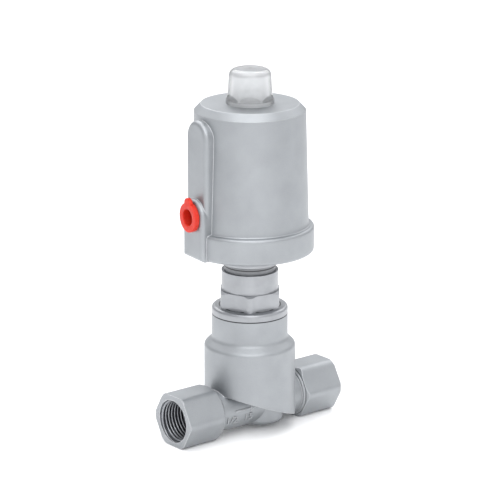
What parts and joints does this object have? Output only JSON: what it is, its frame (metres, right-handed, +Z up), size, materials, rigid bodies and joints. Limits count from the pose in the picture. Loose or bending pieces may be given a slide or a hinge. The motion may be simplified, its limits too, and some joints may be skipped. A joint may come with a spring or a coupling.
{
  "type": "pneumatic globe valve",
  "caption": "Two-way globe valve with threaded ports, a screwed bonnet and a single-acting piston actuator: drafted round cover with air port, rib and clear position dome.",
  "frame": {"origin": "centre of the inlet port's mouth, on the pipe axis", "axes": "+X along the flow to the outlet, +Z up the stem, +Y across the pipe"},
  "size_m": [0.095, 0.062, 0.1792],
  "materials": {
    "cast_stainless": "investment cast and bead blasted, satin",
    "turned_stainless": "turned, satin",
    "ptfe": "moulded and turned",
    "bearing_bronze": "turned",
    "nylon": "moulded, dark",
    "nitrile": "moulded",
    "spring_steel": "drawn or stamped",
    "aluminium": "turned",
    "clear_plastic": "moulded, clear",
    "red_plastic": "moulded polyethylene"
  },
  "bodies": {
    "valve": {"valve_body": "cast_stainless", "body_gasket": "ptfe", "bonnet": "turned_stainless", "wiper_ring": "ptfe", "packing_washer": "turned_stainless", "packing_spring": "spring_steel", "packing_foot": "ptfe", "v_rings": "ptfe", "packing_head": "ptfe", "gland_bush": "bearing_bronze", "stem_seal": "nitrile", "seal_washer": "turned_stainless", "seal_circlip": "spring_steel", "swivel_washer": "nylon", "retaining_ring": "spring_steel", "nipple_o_ring": "nitrile"},
    "stem_unit": {"stem": "turned_stainless", "disc_holder": "turned_stainless", "seat_disc": "ptfe", "disc_washer": "turned_stainless", "disc_nut": "turned_stainless", "piston": "aluminium", "piston_o_ring": "nitrile", "piston_seal": "nitrile", "guide_ring": "ptfe", "piston_washer": "turned_stainless", "piston_nut": "turned_stainless", "indicator_rod": "turned_stainless"},
    "actuator": {"actuator_base": "turned_stainless", "base_o_ring": "nitrile", "actuator_cover": "cast_stainless", "dome_o_ring": "nitrile", "spring_plate": "spring_steel", "outer_spring": "spring_steel", "inner_spring": "spring_steel", "indicator_dome": "clear_plastic"},
    "plug": {"port_plug": "red_plastic"}
  },
  "joints": [
    {"name": "stem_lift", "type": "slide", "parent": "valve", "child": "stem_unit", "axis": [0, 0, 1], "range_m": [0, 0.008], "stiffness_N_per_m": 2000, "springref_m": -0.01, "deforming": ["outer_spring", "inner_spring"]},
    {"name": "actuator_swivel", "type": "hinge", "parent": "valve", "child": "actuator", "pos_m": [0.0475, 0, 0.077], "axis": [0, 0, 1], "continuous": true},
    {"name": "plug_pull", "type": "slide", "parent": "actuator", "child": "plug", "axis": [-0.9936, 0.1132, 0], "range_m": [0, 0.012]}
  ]
}
